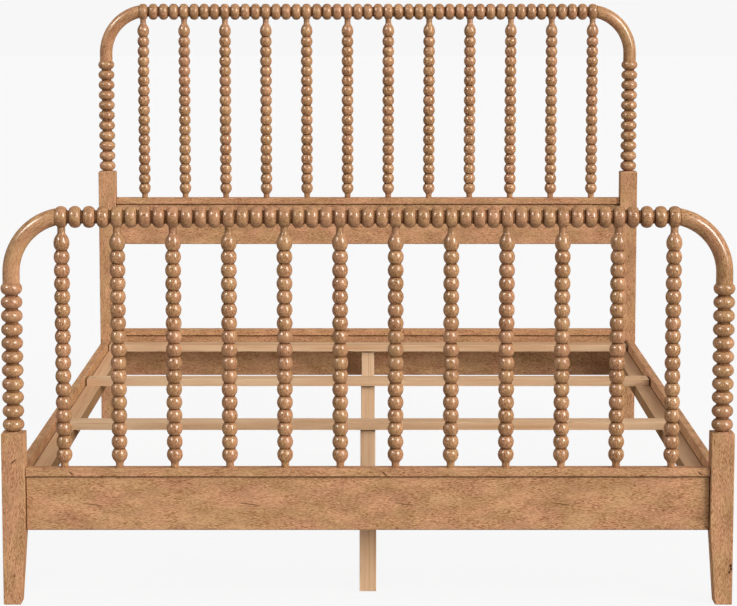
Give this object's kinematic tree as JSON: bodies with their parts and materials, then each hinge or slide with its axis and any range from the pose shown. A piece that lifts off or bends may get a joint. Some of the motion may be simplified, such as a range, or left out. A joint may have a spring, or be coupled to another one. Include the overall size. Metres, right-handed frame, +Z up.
{
  "type": "bed frame",
  "caption": "Wooden bed frame with bobbin-turned posts, top rails and spindles at head and foot, bent corners, panelled cross rails, and slats on ledgers and centre legs.",
  "frame": {"origin": "on the floor under the middle of the bed's box", "axes": "+X to the right seen from the foot end, +Y from foot to head, +Z up"},
  "size_m": [1.592, 2.17, 1.2665],
  "materials": {
    "lacquered_wood": "satin lacquer over mid-brown hardwood",
    "bare_pine": "bare planed pine",
    "dowel_wood": "bare beech",
    "zinc_steel": "zinc plated"
  },
  "bodies": {
    "root": {"foot_post_left": "lacquered_wood", "foot_bend_left": "lacquered_wood", "foot_post_right": "lacquered_wood", "foot_bend_right": "lacquered_wood", "foot_top_rail": "lacquered_wood", "foot_spindle_01": "lacquered_wood", "foot_spindle_02": "lacquered_wood", "foot_spindle_03": "lacquered_wood", "foot_spindle_04": "lacquered_wood", "foot_spindle_05": "lacquered_wood", "foot_spindle_06": "lacquered_wood", "foot_spindle_07": "lacquered_wood", "foot_spindle_08": "lacquered_wood", "foot_spindle_09": "lacquered_wood", "foot_spindle_10": "lacquered_wood", "foot_spindle_11": "lacquered_wood", "foot_spindle_12": "lacquered_wood", "head_post_left": "lacquered_wood", "head_bend_left": "lacquered_wood", "head_post_right": "lacquered_wood", "head_bend_right": "lacquered_wood", "head_top_rail": "lacquered_wood", "head_spindle_01": "lacquered_wood", "head_spindle_02": "lacquered_wood", "head_spindle_03": "lacquered_wood", "head_spindle_04": "lacquered_wood", "head_spindle_05": "lacquered_wood", "head_spindle_06": "lacquered_wood", "head_spindle_07": "lacquered_wood", "head_spindle_08": "lacquered_wood", "head_spindle_09": "lacquered_wood", "head_spindle_10": "lacquered_wood", "head_spindle_11": "lacquered_wood", "head_spindle_12": "lacquered_wood", "foot_cap": "lacquered_wood", "foot_panel": "lacquered_wood", "head_lower_cap": "lacquered_wood", "head_lower_panel": "lacquered_wood", "head_mid_cap": "lacquered_wood", "head_mid_panel": "lacquered_wood", "side_rail_left": "lacquered_wood", "ledger_left": "bare_pine", "side_rail_right": "lacquered_wood", "ledger_right": "bare_pine", "slat_1": "bare_pine", "centre_leg_1": "bare_pine", "slat_2": "bare_pine", "centre_leg_2": "bare_pine", "slat_3": "bare_pine", "centre_leg_3": "bare_pine", "slat_4": "bare_pine", "centre_leg_4": "bare_pine", "bend_dowels": "dowel_wood", "post_slot_plates": "zinc_steel", "rail_hook_plates": "zinc_steel", "ledger_screws": "zinc_steel", "slat_screws": "zinc_steel", "leg_bolts": "zinc_steel"}
  },
  "joints": []
}
